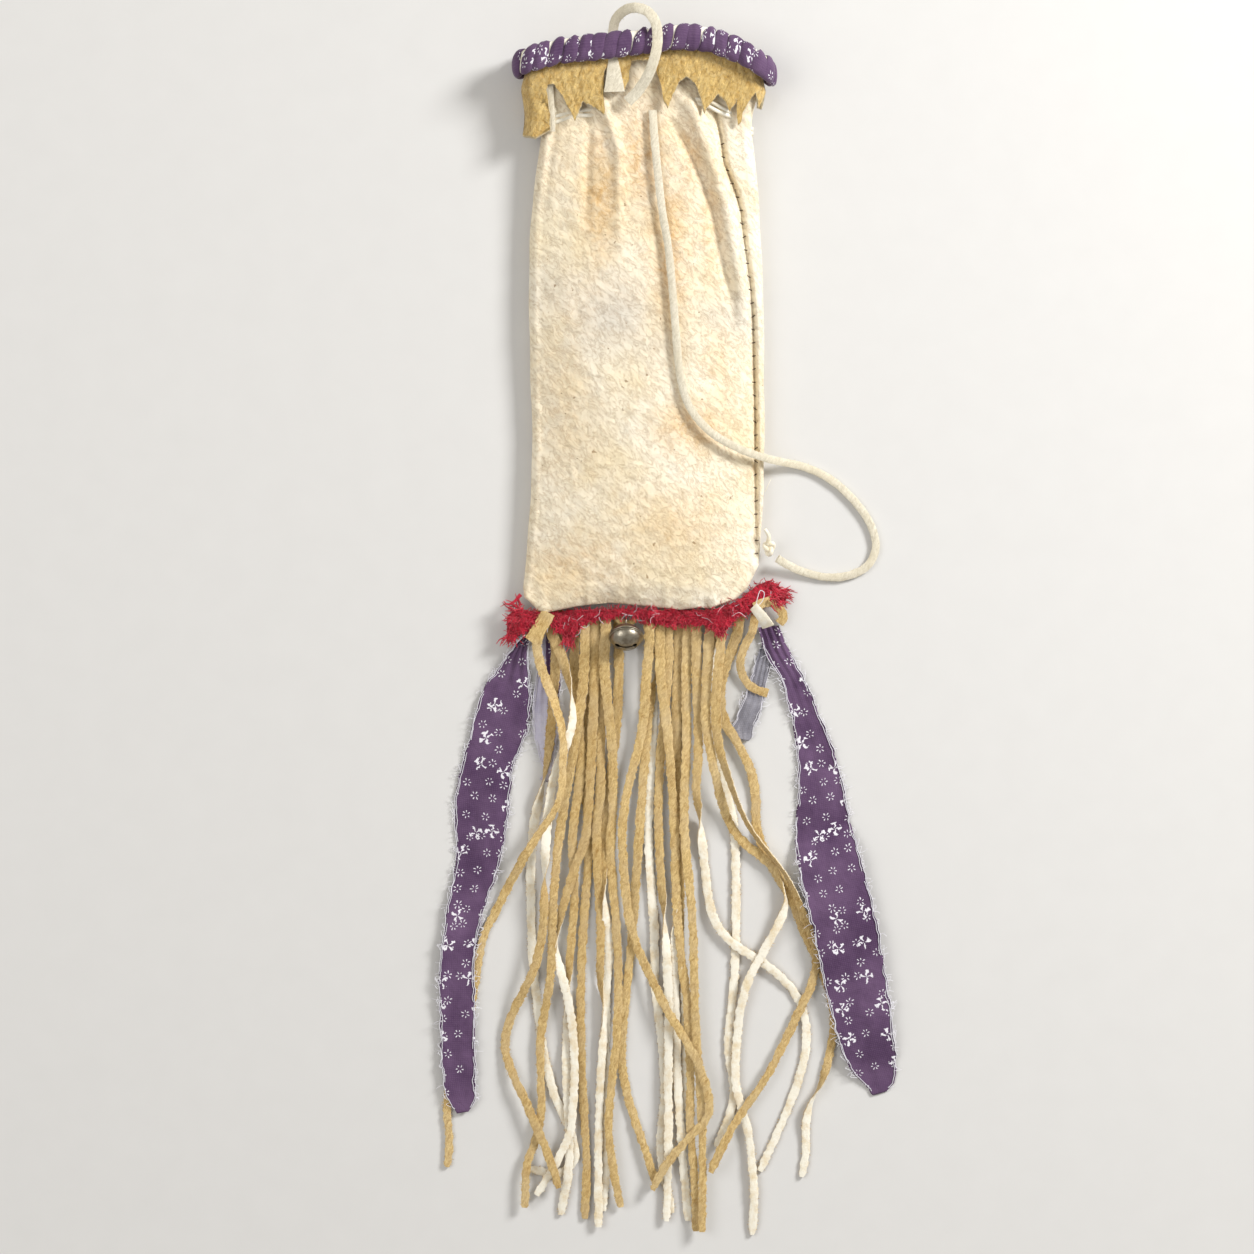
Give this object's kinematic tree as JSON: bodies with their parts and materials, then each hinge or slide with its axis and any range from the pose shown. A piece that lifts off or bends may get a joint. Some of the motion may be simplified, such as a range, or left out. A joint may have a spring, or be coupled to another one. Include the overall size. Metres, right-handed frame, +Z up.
{
  "type": "fringed hide medicine bag",
  "caption": "Flat hide pouch lying on its back, with a cloth-wrapped rolled rim, toothed suede collar, long thong fringe, cloth ribbons, free neck lace and a small jingle bell.",
  "frame": {"origin": "on the surface the bag lies on, under the middle of its outline", "axes": "+Y from the fringe towards the mouth, +X to the right seen from above, +Z up from the back to the front of the bag"},
  "size_m": [0.229, 0.6149, 0.0297],
  "materials": {
    "hide": "cream brain-tanned hide, matt, creased and a little stained",
    "suede": "golden rough suede, cut edges pale",
    "calico": "plain woven purple cotton with small white sprigs and frayed edges",
    "calico_reverse": "pale unprinted back of the purple cotton",
    "wool": "torn red wool cloth, fuzzy",
    "nickel": "dulled nickel plate, darker in the seam"
  },
  "bodies": {
    "bag": {"bag_body": "hide", "rim_core_roll": "hide", "rim_calico_wrap": "calico", "suede_collar": "suede", "neck_drawstring": "hide", "hanging_loop_thong": "hide", "long_lace": "hide", "side_seam_knot": "hide", "red_wool_strip": "wool", "ribbon_left_back": "calico_reverse", "ribbon_right_back": "calico_reverse", "ribbon_left_front": "calico", "ribbon_right_front": "calico", "short_thong_right": "suede", "tie_thong_left": "suede", "tie_thong_right": "suede", "bell_hanger_thong": "suede", "fringe_thong_01": "suede", "fringe_thong_02": "suede", "fringe_thong_03": "suede", "fringe_thong_04": "suede", "fringe_thong_05": "suede", "fringe_thong_06": "suede", "fringe_thong_07": "suede", "fringe_thong_08": "suede", "fringe_thong_09": "suede", "fringe_thong_10": "suede", "fringe_thong_11": "suede", "fringe_thong_12": "suede", "fringe_thong_13": "suede", "fringe_thong_14": "suede", "fringe_thong_15": "suede", "fringe_thong_16": "suede", "fringe_thong_17": "suede", "fringe_thong_18": "suede", "fringe_thong_19": "suede", "fringe_thong_20": "suede", "fringe_thong_21": "suede", "fringe_thong_22": "suede", "fringe_thong_23": "suede"},
    "bell": {"bell_lower_shell": "nickel", "bell_upper_shell": "nickel", "bell_wire_loop": "nickel", "bell_pellet": "nickel"}
  },
  "joints": [
    {"name": "bell_swing", "type": "hinge", "parent": "bag", "child": "bell", "pos_m": [-0.0202, 0.00164, 0.00559], "axis": [-1, 0, 0], "range_deg": [0, 60]}
  ]
}
